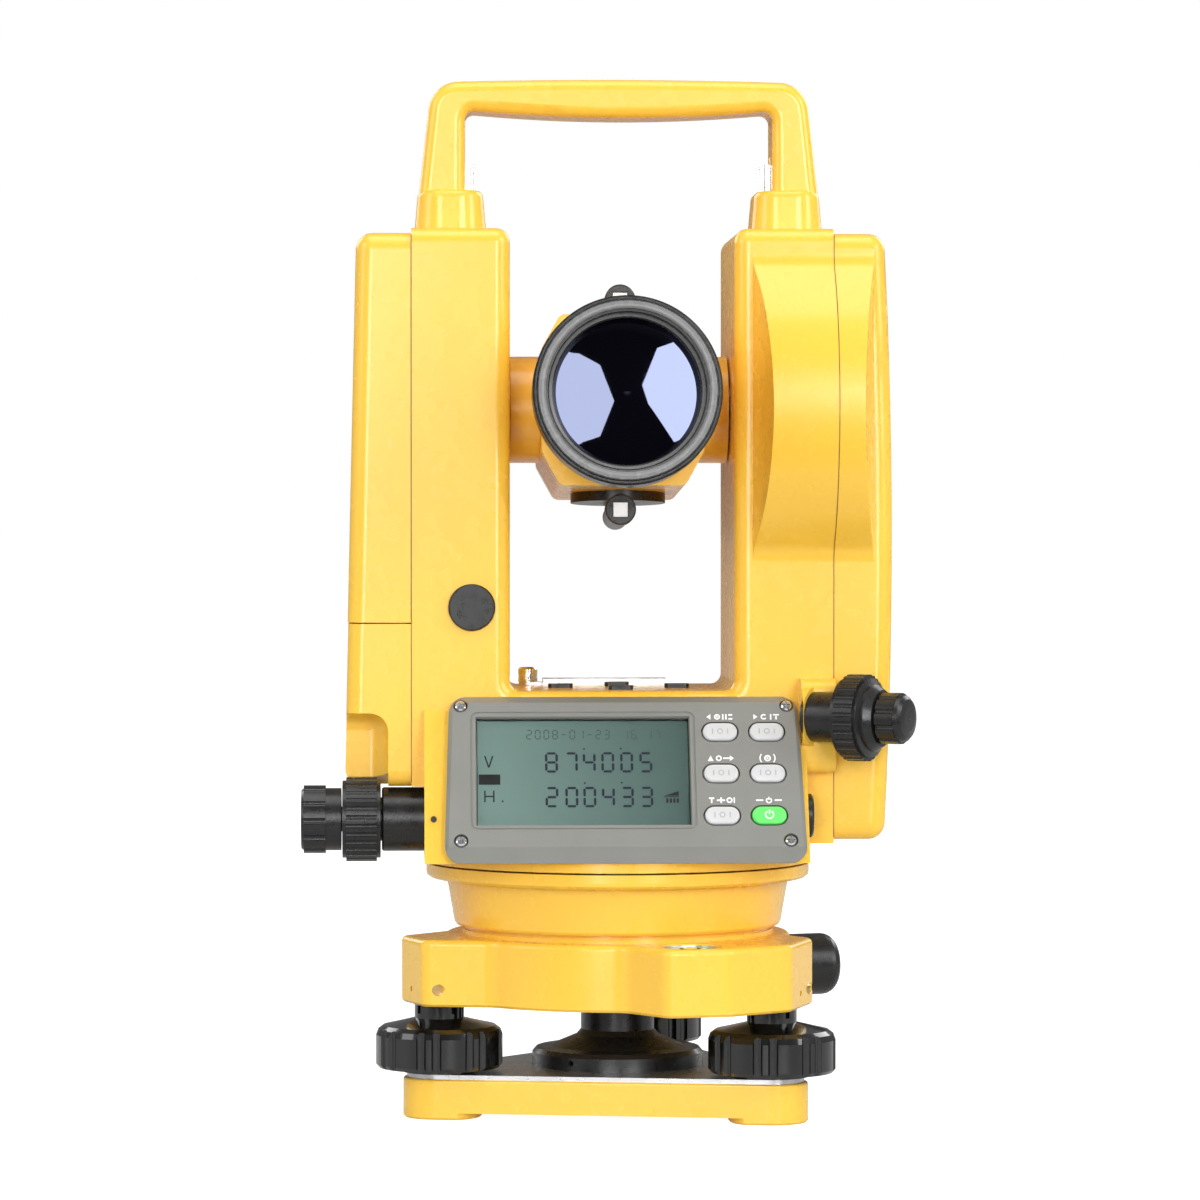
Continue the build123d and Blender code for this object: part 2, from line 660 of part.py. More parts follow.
def adjustment_cap():
    """Screw cap with two spanner holes on the left standard."""
    cap = turned((0, -1.5), (7.5, -1.5), (7.5, 1.2), (7, 1.8), (0, 1.8))
    for turn in (28, 208):
        cap -= rod(0.95, 0.6, 3, polar(4.35, turn))
    return Pos(-48.3, -STANDARD_DEPTH, CAP_HEIGHT) * Rot(90, 0, 0) * cap


def plate_level_housing():
    """Tray of the plate level on the shelf."""
    tray = span((-24, 17), (15.5, 26.5), (SHELF - 4, 140.2))
    tray += slab(Pos(-28.9, 21) * Circle(3) + Pos(-26, 21) * Rectangle(6, 6), SHELF, 139)
    tray -= along_x(0, 21, 137.3) * rod(2.4, -20, 13)
    tray -= span((-14, 7), (19.2, 22.8), (137, 141))
    return tray - rod(1.5, SHELF, 142, (-28.9, 21))


def plate_level_vial():
    """Glass tube of the plate level."""
    return along_x(0, 21, 137.3) * rod(2.4, -20, 13)


def plate_level_screw():
    """Capstan screw that tilts the plate level."""
    head = turned(
        (0, SHELF + 0.2), (1.5, SHELF + 0.2), (1.5, 139), (3.2, 139), (3.2, 143.2), (2.6, 143.9),
        (0, 144),
    )
    for turn in (0, 90):
        head -= Rot(0, 0, turn) * along_x(0, 0, 141) * rod(0.7, -4, 4)
    return Pos(-28.9, 21, 0) * head


def shelf_pads():
    """Four small buffers on the shelf."""
    spots = ((-19, -7), (19, -7), (0, -24), (0, 8))
    blank = RectangleRounded(8, 5, 1.5)
    return Compound(children=[slab(Pos(*spot) * blank, SHELF, SHELF + 1.4) for spot in spots])


def level_barrel():
    """Fixed barrel of the horizontal clamp and tangent screw."""
    body = turned(
        (4 + RUNNING_FIT, -10), (10.25, -10), (10.25, 16), (9.8, 16.6), (7, 16.6),
        (7, 28.8), (4 + RUNNING_FIT, 28.8),
    )
    return level_tangent * body


def level_clamp():
    """Knurled horizontal clamp ring."""
    grip = fluted(13.5, 30, 0.5, 0.8, 18.2, 28)
    grip += rod(12.4, 17, 29.2)
    grip -= rod(7 + RUNNING_FIT, 16, 29.6)
    return level_tangent * grip


def level_screw():
    """Horizontal tangent screw and its knob."""
    neck = turned((0, 29.6), (10, 29.6), (10, 34.6), (0, 34.6))
    neck -= Rot(0, 0, 60) * along_x(8.5, 0, 32) * rod(0.8, 0, 4)
    grip = fluted(10.9, 12, 0.7, 1.2, 34.6, 41.6)
    grip += turned((0, 41.4), (10.1, 41.4), (9.4, 42.4), (0, 42.4))
    return level_tangent * (neck + grip + rod(4, -6, 30))


def upright_barrel():
    """Fixed barrel of the vertical clamp and tangent screw."""
    body = turned(
        (3 + RUNNING_FIT, -1.5), (8, -1.5), (8, 10.6), (5, 10.6), (5, 23.4), (3 + RUNNING_FIT, 23.4),
    )
    return upright_tangent * body


def upright_clamp():
    """Knurled vertical clamp ring with a stepped cone."""
    grip = fluted(13.8, 30, 0.5, 0.8, 12.4, 19)
    grip += turned((0, 11), (12.6, 11), (12.6, 20), (10.6, 20.6), (10.6, 21.6), (9, 23.8), (0, 23.8))
    grip -= rod(5 + RUNNING_FIT, 10, 25)
    return upright_tangent * grip


def upright_screw():
    """Vertical tangent screw and its knob."""
    grip = fluted(8.15, 10, 0.6, 1.0, 24.4, 30.5)
    grip += turned((0, 30.4), (7.6, 30.4), (7.3, 31.8), (6.2, 32.8), (4, 33.2), (0, 33.3))
    return upright_tangent * (grip + rod(3, -1.2, 25))


def trunnion_bearings():
    """Bearing bushes in the two standards."""
    bush = rod(BEARING_RADIUS, 37.5, 50) - rod(AXLE_RADIUS + RUNNING_FIT, 37.5, 50)
    flip = Rot(0, 180, 0)
    return Compound(children=[trunnion_right * bush, trunnion_right * flip * bush])


# --- Telescope ---------------------------------------------------------------------
def telescope_body():
    """Telescope block, front barrel and eyepiece tube."""
    half = [(20, 27.4), (26, 16.5), (26, -16.5), (20, -27.4)]
    corners = half + [(-x, y) for x, y in reversed(half)]
    section = make_face(Polyline(*corners, close=True))
    section = fillet(section.vertices(), 3)
    block = Pos(0, 0, -36) * extrude(section, 76)
    block = fillet(block.edges().group_by(Axis.Z)[0], 2)
    body = block + turned((0, 36), (26, 36), (26, 50), (27.4, 56), (27.4, 62), (0, 62))
    body += turned((0, -60), (17, -60), (17, -39.6), (21, -39.6), (21, -36), (0, -36))
    body -= rod(15, -42, 26) + rod(21.4, 25.9, 63) + rod(12, -61, -41.9)
    body = forwards * body
    for side in (0, 180):
        place = telescope * Rot(0, 90 + side, 0)
        body += place * rod(TRUNNION_BOSS, 23, 35.4)
        body -= place * rod(AXLE_RADIUS, 22, 40)
    return body


def trunnion_axle():
    """Two steel stub axles; the right one also carries the vertical circle."""
    left = telescope * Rot(0, -90, 0) * rod(AXLE_RADIUS, 22, 56)
    right = telescope * Rot(0, 90, 0) * rod(AXLE_RADIUS, 22, 64)
    return Compound(children=[left, right])


def vertical_circle():
    """Glass vertical circle with its hub."""
    disc = turned(
        (AXLE_RADIUS, 52), (14, 52), (14, 55), (VERTICAL_CIRCLE_RADIUS, 55),
        (VERTICAL_CIRCLE_RADIUS, 58), (14, 58), (14, 61), (AXLE_RADIUS, 61),
    )
    return telescope * Rot(0, 90, 0) * disc


def objective_cell():
    """Objective mount with its stepped front ring."""
    return forwards * turned(
        (21.4, 56), (GLASS_RADIUS, 62), (GLASS_RADIUS, 70.5), (24.6, 71.2), (24.6, 73.6),
        (25.7, 74), (25.7, 76.4), (26.3, OBJECTIVE_FRONT), (28.3, OBJECTIVE_FRONT), (28.6, 76.2),
        (29.2, 76.2), (OBJECTIVE_RADIUS, 75.4), (OBJECTIVE_RADIUS, 63), (29, 62), (27.4, 62),
        (27.4, 62.02), (21.4, 62.02),
    )


def objective_lens():
    """Cemented objective with a domed front."""
    radius = 113.0
    dome = Pos(0, 0, 70.4 - radius) * Sphere(radius)
    return forwards * (rod(GLASS_RADIUS, 62, 71) & dome)


def optical_sights():
    """Collimating sights above and below the telescope."""
    tube = turned((0, -20), (4.2, -20), (4.2, 14), (5, 14.4), (5, 21.4), (4.6, 22), (0, 22))
    tube -= span((-2.6, 2.6), (-2.6, 2.6), (20, 23))
    tube -= rod(2.4, -21, -18)
    sight = Pos(0, 0, SIGHT_OFFSET) * Rot(90, 0, 0) * tube
    sight += rod(15.5, 27.4, 30.6) + span((-2.3, 2.3), (-14, 12), (29, SIGHT_OFFSET))
    return Compound(children=[telescope * sight, telescope * Rot(0, 180, 0) * sight])


def focusing_ring():
    """Knurled focusing ring."""
    ring = fluted(23, 40, 0.5, 0.8, -55, -42) + rod(22, -56.6, -40)
    return forwards * (ring - rod(17 + RUNNING_FIT, -57, -39))


def eyepiece_ring():
    """Eyepiece with its adjusting ring."""
    body = fluted(15, 28, 0.4, 0.6, -70, -61)
    body += turned((0, -61), (16, -61), (16, -60.4), (0, -60.4))
    body += turned((0, -70), (14, -70), (13, -76), (11.6, -77.4), (7.5, -77.4), (5.5, -75), (0, -75))
    body += rod(12 - RUNNING_FIT, -60.5, -46)
    body -= rod(9, -72, -45)
    return forwards * body


def focusing_lens():
    """Sliding cell with the focusing lens."""
    cell = rod(15 - RUNNING_FIT, 2, 18) - rod(12, 2, 7) - rod(12, 13, 18)
    return forwards * cell


PIECES = {
    "base_plate": tribrach * base_plate(),
    "spring_plate": tribrach * spring_plate(),
    "tripod_thread_insert": thread_insert(),
    "centre_disc": centre_disc(),
    "tribrach_body": tribrach_body(),
    "tribrach_set_screws": set_screws(),
    "foot_screw_bushes": foot_bushes(),
    "circular_level_housing": level_housing(),
    "circular_level_vial": level_vial(),
    "plummet_barrel": plummet_barrel(),
    "plummet_prism": plummet_prism(),
    "plummet_eyepiece": plummet_eyepiece(),
    "circle_housing": circle_housing(),
    "axis_sleeve": axis_sleeve(),
    "horizontal_circle": horizontal_circle(),
    "vertical_spindle": vertical_spindle(),
    "alidade_frame": alidade_frame(),
    "right_side_cover": right_cover(),
    "left_lower_cover": left_cover(),
    "battery_case": battery_case(),
    "battery_cells": battery_cells(),
    "battery_latch": battery_latch(),
    "carry_handle": carry_handle(),
    "handle_screws": handle_screws(),
    "display_bezel": display_bezel(),
    "lcd_window": lcd_window(),
    "lcd_module": lcd_module(),
    "main_circuit_board": circuit_board(),
    "bezel_screws": bezel_screws(),
    "data_port": data_port(),
    "adjustment_cap": adjustment_cap(),
    "plate_level_housing": plate_level_housing(),
    "plate_level_vial": plate_level_vial(),
    "plate_level_screw": plate_level_screw(),
    "shelf_pads": shelf_pads(),
    "horizontal_tangent_barrel": level_barrel(),
    "horizontal_clamp_ring": level_clamp(),
    "horizontal_tangent_screw": level_screw(),
    "vertical_tangent_barrel": upright_barrel(),
    "vertical_clamp_ring": upright_clamp(),
    "vertical_tangent_screw": upright_screw(),
    "trunnion_bearings": trunnion_bearings(),
    "telescope_body": telescope_body(),
    "trunnion_axle": trunnion_axle(),
    "vertical_circle": vertical_circle(),
    "objective_cell": objective_cell(),
    "objective_lens": objective_lens(),
    "optical_sights": optical_sights(),
    "focusing_ring": focusing_ring(),
    "eyepiece_ring": eyepiece_ring(),
    "focusing_lens": focusing_lens(),
}

for name, angle in FOOT_ANGLES.items():
    PIECES["foot_screw_" + name] = tribrach * Pos(*polar(FOOT_CIRCLE, angle)) * foot_screw()

for name, spot in key_places().items():
    PIECES["key_" + name] = key(spot)

for name, shape in PIECES.items():
    save(name, shape)
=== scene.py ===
import json
import math

import bmesh
import bpy
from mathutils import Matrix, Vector


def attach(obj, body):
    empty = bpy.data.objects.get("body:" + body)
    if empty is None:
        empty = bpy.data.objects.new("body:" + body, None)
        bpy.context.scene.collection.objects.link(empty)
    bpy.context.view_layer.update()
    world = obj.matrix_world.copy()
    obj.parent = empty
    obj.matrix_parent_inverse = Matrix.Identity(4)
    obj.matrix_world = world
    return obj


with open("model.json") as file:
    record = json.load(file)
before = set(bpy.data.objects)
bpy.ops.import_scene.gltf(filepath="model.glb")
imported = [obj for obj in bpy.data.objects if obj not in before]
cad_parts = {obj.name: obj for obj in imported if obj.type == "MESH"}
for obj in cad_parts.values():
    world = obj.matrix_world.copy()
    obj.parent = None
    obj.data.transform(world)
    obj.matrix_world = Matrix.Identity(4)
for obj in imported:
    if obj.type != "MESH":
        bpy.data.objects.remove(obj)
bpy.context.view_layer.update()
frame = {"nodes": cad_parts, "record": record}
nodes = frame["nodes"]


# --- materials ---------------------------------------------------------------------
class Shader:
    """One node material with short ways to add and join nodes."""

    def __init__(self, name):
        self.material = bpy.data.materials.new(name)
        self.material.use_nodes = True
        self.tree = self.material.node_tree
        self.bsdf = self.tree.nodes["Principled BSDF"]
        self.coords = self.add("TexCoord").outputs["Object"]

    def add(self, kind, **settings):
        node = self.tree.nodes.new("ShaderNode" + kind)
        for key, value in settings.items():
            setattr(node, key, value)
        return node

    def join(self, source, target):
        self.tree.links.new(source, target)

    def put(self, **values):
        for key, value in values.items():
            self.bsdf.inputs[key.replace("_", " ")].default_value = value

    def noise(self, scale, detail=2.0, rough=0.5, stretch=(1, 1, 1)):
        mapping = self.add("Mapping")
        mapping.inputs["Scale"].default_value = stretch
        self.join(self.coords, mapping.inputs["Vector"])
        node = self.add("TexNoise")
        node.inputs["Scale"].default_value = scale
        node.inputs["Detail"].default_value = detail
        node.inputs["Roughness"].default_value = rough
        self.join(mapping.outputs["Vector"], node.inputs["Vector"])
        return node.outputs["Fac"]

    def ramp(self, source, low, high, start=0.0, end=1.0):
        node = self.add("MapRange")
        node.inputs["From Min"].default_value = start
        node.inputs["From Max"].default_value = end
        node.inputs["To Min"].default_value = low
        node.inputs["To Max"].default_value = high
        self.join(source, node.inputs["Value"])
        return node.outputs["Result"]

    def blend(self, factor, first, second):
        node = self.add("Mix", data_type="RGBA")
        self.join(factor, node.inputs["Factor"])
        node.inputs["A"].default_value = (*first, 1)
        node.inputs["B"].default_value = (*second, 1)
        return node.outputs["Result"]

    def bump(self, height, distance, strength=1.0):
        node = self.add("Bump")
        node.inputs["Distance"].default_value = distance
        node.inputs["Strength"].default_value = strength
        self.join(height, node.inputs["Height"])
        self.join(node.outputs["Normal"], self.bsdf.inputs["Normal"])


def surface(name, first, second, patch=40.0, rough=(0.3, 0.4), grain=900.0, depth=0.00002, **values):
    """Moulded or painted surface: two close tones, uneven gloss and a fine grain."""
    shader = Shader(name)
    tone = shader.ramp(shader.noise(patch, 3.0), 0, 1, 0.35, 0.65)
    shader.join(shader.blend(tone, first, second), shader.bsdf.inputs["Base Color"])
    gloss = shader.ramp(shader.noise(patch * 4, 4.0), rough[0], rough[1], 0.3, 0.7)
    shader.join(gloss, shader.bsdf.inputs["Roughness"])
    shader.bump(shader.noise(grain, 2.0), depth)
    shader.put(**values)
    return shader.material


def painted_reflection_surface(name, first, second, left, right, rough):
    """Surface that goes from one tone to another from left to right, as a painted reflection."""
    shader = Shader(name)
    parts = shader.add("SeparateXYZ")
    shader.join(shader.coords, parts.inputs["Vector"])
    across = shader.ramp(parts.outputs["X"], 0, 1, left, right)
    shader.join(shader.blend(across, first, second), shader.bsdf.inputs["Base Color"])
    gloss = shader.ramp(shader.noise(80, 4.0), rough[0], rough[1], 0.3, 0.7)
    shader.join(gloss, shader.bsdf.inputs["Roughness"])
    shader.bump(shader.noise(500, 2.0), 0.000005)
    return shader.material


YELLOW = surface(
    "yellow_paint", (0.93, 0.56, 0.058), (0.92, 0.55, 0.056), 30, (0.25, 0.29), 700, 0.00001,
    Coat_Weight=0.2, Coat_Roughness=0.1,
)
GLOSS_BLACK = surface(
    "gloss_black", (0.004, 0.004, 0.004), (0.006, 0.006, 0.006), 60, (0.1, 0.17), 500, 0.00001,
    Coat_Weight=0.4, Coat_Roughness=0.05,
)
SATIN_BLACK = surface(
    "satin_black", (0.008, 0.008, 0.008), (0.012, 0.012, 0.012), 80, (0.24, 0.36), 1500, 0.00002,
)
GREY = surface(
    "bezel_grey", (0.215, 0.215, 0.195), (0.225, 0.225, 0.204), 60, (0.34, 0.44), 2200, 0.00003,
)
KEY_GREY = surface(
    "key_grey", (0.56, 0.56, 0.56), (0.6, 0.6, 0.6), 90, (0.36, 0.46), 2500, 0.00002
)
KEY_GREEN = surface(
    "key_green", (0.12, 0.72, 0.13), (0.15, 0.78, 0.16), 90, (0.35, 0.45), 2500, 0.00002
)
STEEL = surface(
    "steel", (0.5, 0.5, 0.51), (0.58, 0.58, 0.59), 120, (0.25, 0.4), 1200, 0.00001, Metallic=1.0
)
CHROME = surface(
    "chrome", (0.78, 0.78, 0.79), (0.84, 0.84, 0.84), 200, (0.08, 0.16), 900, 0.000005, Metallic=1.0
)
BRASS = surface(
    "brass", (0.70, 0.50, 0.22), (0.62, 0.44, 0.2), 150, (0.25, 0.4), 900, 0.00001, Metallic=1.0
)
ALUMINIUM = surface(
    "aluminium", (0.62, 0.62, 0.6), (0.7, 0.7, 0.68), 150, (0.3, 0.42), 1500, 0.00001, Metallic=0.85
)
GLASS = surface(
    "glass", (0.9, 0.95, 0.92), (0.92, 0.95, 0.93), 20, (0.02, 0.05), 300, 0.000002,
    Transmission_Weight=0.95,
)
WINDOW = surface(
    "clear_window", (0.97, 0.98, 0.97), (0.98, 0.99, 0.98), 20, (0.01, 0.03), 300, 0.000001,
    Transmission_Weight=1.0, IOR=1.12,
)
VIAL = surface(
    "vial_liquid", (0.42, 0.72, 0.16), (0.46, 0.76, 0.2), 40, (0.04, 0.08), 300, 0.000002,
    Coat_Weight=0.8, Coat_Roughness=0.03,
)
BUBBLE = surface(
    "vial_bubble", (0.75, 0.92, 0.5), (0.8, 0.95, 0.58), 200, (0.06, 0.1), 300, 0.000002,
    Coat_Weight=0.8, Coat_Roughness=0.03,
)
LENS = surface(
    "coated_lens", (0.001, 0.001, 0.002), (0.002, 0.001, 0.003), 20, (0.015, 0.03), 300, 0.000001,
    IOR=1.9, Specular_Tint=(0.6, 0.67, 1.0, 1.0),
)
BOARD = surface("board", (0.02, 0.16, 0.06), (0.03, 0.2, 0.08), 300, (0.4, 0.5), 800, 0.00003)
# The display is lighter on the left and darker on the right: a painted reflection.
LCD_PAINTED_REFLECTION = painted_reflection_surface("lcd", (0.165, 0.255, 0.232), (0.062, 0.108, 0.098), -0.047, 0.02, (0.3, 0.4))
CELL = surface("cell", (0.05, 0.12, 0.35), (0.06, 0.14, 0.38), 30, (0.3, 0.4), 400, 0.00001)
INK = surface("lcd_ink", (0.003, 0.008, 0.02), (0.005, 0.011, 0.026), 300, (0.3, 0.4), 900, 0.000002)
FAINT_INK = surface(
    "lcd_faint_ink", (0.055, 0.092, 0.083), (0.06, 0.1, 0.09), 300, (0.3, 0.4), 900, 0.000002
)
# Pale, faintly glowing sight glass: painted light shining through the sights.
SIGHT_GLASS_PAINTED_GLOW = surface(
    "sight_glass_painted_glow", (0.8, 0.82, 0.82), (0.88, 0.9, 0.9), 200, (0.1, 0.2), 500, 0.000003,
    Emission_Color=(1, 1, 1, 1), Emission_Strength=0.25,
)
WHITE_INK = surface(
    "white_ink", (0.86, 0.86, 0.86), (0.92, 0.92, 0.92), 300, (0.4, 0.5), 900, 0.000004
)
KEY_INK = surface(
    "key_ink", (0.36, 0.36, 0.36), (0.42, 0.42, 0.42), 300, (0.4, 0.5), 900, 0.000004
)
JOINT = surface(
    "joint_shadow", (0.2, 0.075, 0.008), (0.24, 0.09, 0.01), 300, (0.5, 0.6), 900, 0.000004
)
# Black print, also used as painted shade at the bottom of holes and counterbores.
BLACK_INK_AND_SHADE = surface(
    "black_ink_and_painted_shade", (0.004, 0.004, 0.004), (0.007, 0.007, 0.007), 300, (0.3, 0.4), 900, 0.000004
)

TRUNNION = Vector((0, 0, 0.2288))
TELESCOPE_AXIS = Vector((0, -math.cos(math.radians(3.5)), math.sin(math.radians(3.5))))


def ringed_cell():
    """Objective mount: black outside, satin grey steps towards the glass."""
    shader = Shader("objective_rings")
    offset = shader.add("VectorMath", operation="SUBTRACT")
    shader.join(shader.coords, offset.inputs[0])
    offset.inputs[1].default_value = TRUNNION
    cross = shader.add("VectorMath", operation="CROSS_PRODUCT")
    shader.join(offset.outputs["Vector"], cross.inputs[0])
    cross.inputs[1].default_value = TELESCOPE_AXIS
    length = shader.add("VectorMath", operation="LENGTH")
    shader.join(cross.outputs["Vector"], length.inputs[0])
    scaled = shader.ramp(length.outputs["Value"], 0, 1, 0.0228, 0.0308)
    ramp = shader.add("ValToRGB")
    shader.join(scaled, ramp.inputs["Fac"])
    bands = ramp.color_ramp
    bands.interpolation = "CONSTANT"
    stops = [
        (0.0, 0.006), (0.1, 0.14), (0.22, 0.012), (0.27, 0.12), (0.36, 0.22), (0.52, 0.16),
        (0.64, 0.005),
    ]
    while len(bands.elements) < len(stops):
        bands.elements.new(1.0)
    for element, (place, grey) in zip(bands.elements, stops):
        element.position = place
        element.color = (grey, grey, 0.98 * grey, 1)
    shader.join(ramp.outputs["Color"], shader.bsdf.inputs["Base Color"])
    gloss = shader.ramp(shader.noise(300, 4.0), 0.22, 0.32, 0.3, 0.7)
    shader.join(gloss, shader.bsdf.inputs["Roughness"])
    shader.bump(shader.noise(1500, 2.0), 0.00001)
    return shader.material


BY_SLOT = {
    "body_paint": YELLOW,
    "battery_paint": YELLOW,
    "knob_gloss": GLOSS_BLACK,
    "knob_satin": SATIN_BLACK,
    "black_metal": SATIN_BLACK,
    "steel": STEEL,
    "chrome": CHROME,
    "brass": BRASS,
    "clear_glass": GLASS,
    "coated_glass": LENS,
    "bezel_grey": GREY,
    "lcd": LCD_PAINTED_REFLECTION,
    "board": BOARD,
    "key_grey": KEY_GREY,
    "key_green": KEY_GREEN,
    "cell": CELL,
    "aluminium": ALUMINIUM,
}
for part in frame["record"]["subparts"]:
    node = nodes[part["node"]]
    node.data.materials.clear()
    node.data.materials.append(BY_SLOT[part["material_slot"]])

BY_NODE = {
    "lcd_window": WINDOW,
    "circular_level_vial": VIAL,
    "plate_level_vial": VIAL,
    "plate_level_housing": ALUMINIUM,
    "objective_cell": ringed_cell(),
}
for name, material in BY_NODE.items():
    nodes[name].data.materials.clear()
    nodes[name].data.materials.append(material)

# --- printed and liquid details, painted shade in holes, painted glow in sights ------
PANEL_MIDDLE = Vector((0, -0.055, 0.11285))
PANEL_UP = Vector((0, 22.0, 45.7)).normalized()
PANEL_OUT = Vector((0, -45.7, 22.0)).normalized()
LCD_CENTRE = (-13.2, 0.7)
KEY_SPOTS = {
    name: (x, v)
    for name, (x, v) in zip(
        ("function_left", "function_right", "output", "light", "measure", "power"),
        [(x, v) for v in (13.9, -0.4, -14.8) for x in (30.5, 45.4)],
    )
}


def on_panel(x, v, depth):
    """Point in the display panel's plane, given in millimetres."""
    return PANEL_MIDDLE + Vector((x / 1000, 0, 0)) + PANEL_UP * v / 1000 + PANEL_OUT * depth / 1000


def on_level(x, y, height):
    """Point above the origin, given in millimetres."""
    return Vector((x, y, height)) / 1000


def prisms(name, outlines, low, high, place, material, body):
    """One piece made of flat outlines raised between two depths."""
    work = bmesh.new()
    for outline in outlines:
        bottom = [work.verts.new(place(x, v, low)) for x, v in outline]
        top = [work.verts.new(place(x, v, high)) for x, v in outline]
        work.faces.new(top)
        work.faces.new(bottom[::-1])
        for i in range(len(outline)):
            j = (i + 1) % len(outline)
            work.faces.new((bottom[i], bottom[j], top[j], top[i]))
    bmesh.ops.recalc_face_normals(work, faces=work.faces)
    mesh = bpy.data.meshes.new(name)
    work.to_mesh(mesh)
    work.free()
    mesh.materials.append(material)
    piece = bpy.data.objects.new(name, mesh)
    bpy.context.scene.collection.objects.link(piece)
    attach(piece, body)
    return piece


def moved(outline, x, v):
    """The same outline shifted."""
    return [(a + x, b + v) for a, b in outline]


def bar(left, low, right, high):
    """Rectangle between two corners."""
    return [(left, low), (right, low), (right, high), (left, high)]


def stroke(start, end, width):
    """Straight stroke with chamfered ends."""
    along = Vector((end[0] - start[0], end[1] - start[1])).normalized()
    side = Vector((-along.y, along.x)) * width / 2
    tip = along * width / 2
    a, b = Vector(start), Vector(end)
    points = [a, a + tip - side, b - tip - side, b, b - tip + side, a + tip + side]
    return [(p.x, p.y) for p in points]


def disc(x, v, radius, sides=24):
    """Round outline about a point."""
    turns = [2 * math.pi * i / sides for i in range(sides)]
    return [(x + radius * math.cos(t), v + radius * math.sin(t)) for t in turns]


def arc(x, v, radius, width, start, end, steps=14):
    """Band along part of a circle, as short quadrilaterals."""
    parts = []
    for i in range(steps):
        corners = []
        for k, edge in ((0, -1), (0, 1), (1, 1), (1, -1)):
            turn = math.radians(start + (end - start) * (i + k) / steps)
            reach = radius + edge * width / 2
            corners.append((x + reach * math.cos(turn), v + reach * math.sin(turn)))
        parts.append(corners)
    return parts


SEGMENTS = {
    "0": "abcdef", "1": "bc", "2": "abged", "3": "abgcd", "4": "fgbc", "5": "afgcd",
    "6": "afgedc", "7": "abc", "8": "abcdefg", "9": "abcdfg", "-": "g",
}


def digit(symbol, x, v, width, height, thick):
    """Seven-segment numeral centred at a point."""
    w, h, gap = width / 2 - thick / 2, height / 2 - thick / 2, thick * 0.22
    corners = {
        "a": ((-w, h), (w, h)), "b": ((w, h), (w, 0)), "c": ((w, 0), (w, -h)),
        "d": ((-w, -h), (w, -h)), "e": ((-w, 0), (-w, -h)), "f": ((-w, h), (-w, 0)),
        "g": ((-w, 0), (w, 0)),
    }
    parts = []
    for segment in SEGMENTS[symbol]:
        start, end = (Vector(p) for p in corners[segment])
        pull = (end - start).normalized() * gap
        parts.append(moved(stroke(start + pull, end - pull, thick), x, v))
    return parts


def lcd_print(name, outlines, material, depth=0.05):
    """Figures on the face of the display module, measured from its centre."""
    at = [moved(outline, *LCD_CENTRE) for outline in outlines]
    prisms(name, at, -2.4, -2.4 + depth, on_panel, material, "alidade")


DIGIT_CENTRES = (-10, -3.7, 2.0, 7.9, 13.9, 20.0)
readout = []
for symbols, v in (("874005", 3.7), ("200433", -8.2)):
    for symbol, u in zip(symbols, DIGIT_CENTRES):
        readout += digit(symbol, u, v, 4.1, 7.0, 0.78)
readout += [stroke((-31.2, 6.1), (-29.9, 1.9), 0.5), stroke((-28.6, 6.1), (-29.9, 1.9), 0.5)]
readout += [stroke((-31.2, -5.8), (-31.2, -10), 0.5), stroke((-28.4, -5.8), (-28.4, -10), 0.5)]
readout += [stroke((-31.2, -7.9), (-28.4, -7.9), 0.5)]
for u, v in ((0.4, 8.3), (12.1, 8.4), (0.5, -3.4), (12.2, -3.3), (-25.6, -9.6)):
    readout.append(disc(u, v, 0.32, 10))
lcd_print("lcd_readout", readout, INK)
icons = [bar(-33.1, -3.9, -26.3, -0.4)]
icons += [bar(25.6, -8.3, 30.2, -8.0), [(25.6, -7.8), (30.2, -7.8), (30.2, -6.2)]]
for i in range(4):
    icons.append(bar(26.2 + i * 1.1, -10.2, 26.9 + i * 1.1, -8.7))
ghost = []
for i, symbol in enumerate("2008-01-23"):
    ghost += digit(symbol, -17 + i * 2.75, 13.3, 1.9, 3.4, 0.42)
for i, symbol in enumerate("16"):
    ghost += digit(symbol, 13.6 + i * 2.75, 13.3, 1.9, 3.4, 0.42)
for i, symbol in enumerate("17"):
    ghost += digit(symbol, 21.2 + i * 2.75, 13.3, 1.9, 3.4, 0.42)
lcd_print("lcd_icons", icons, BLACK_INK_AND_SHADE, 0.04)
lcd_print("lcd_ghost", ghost, FAINT_INK, 0.03)


def triangle(x, reach):
    """Triangle 1.9 high that points along +x or -x."""
    return [(x, -0.95), (x + reach, 0), (x, 0.95)]


def ring(x):
    """Small ring in a legend."""
    return arc(x, 0, 0.75, 0.45, 0, 360)


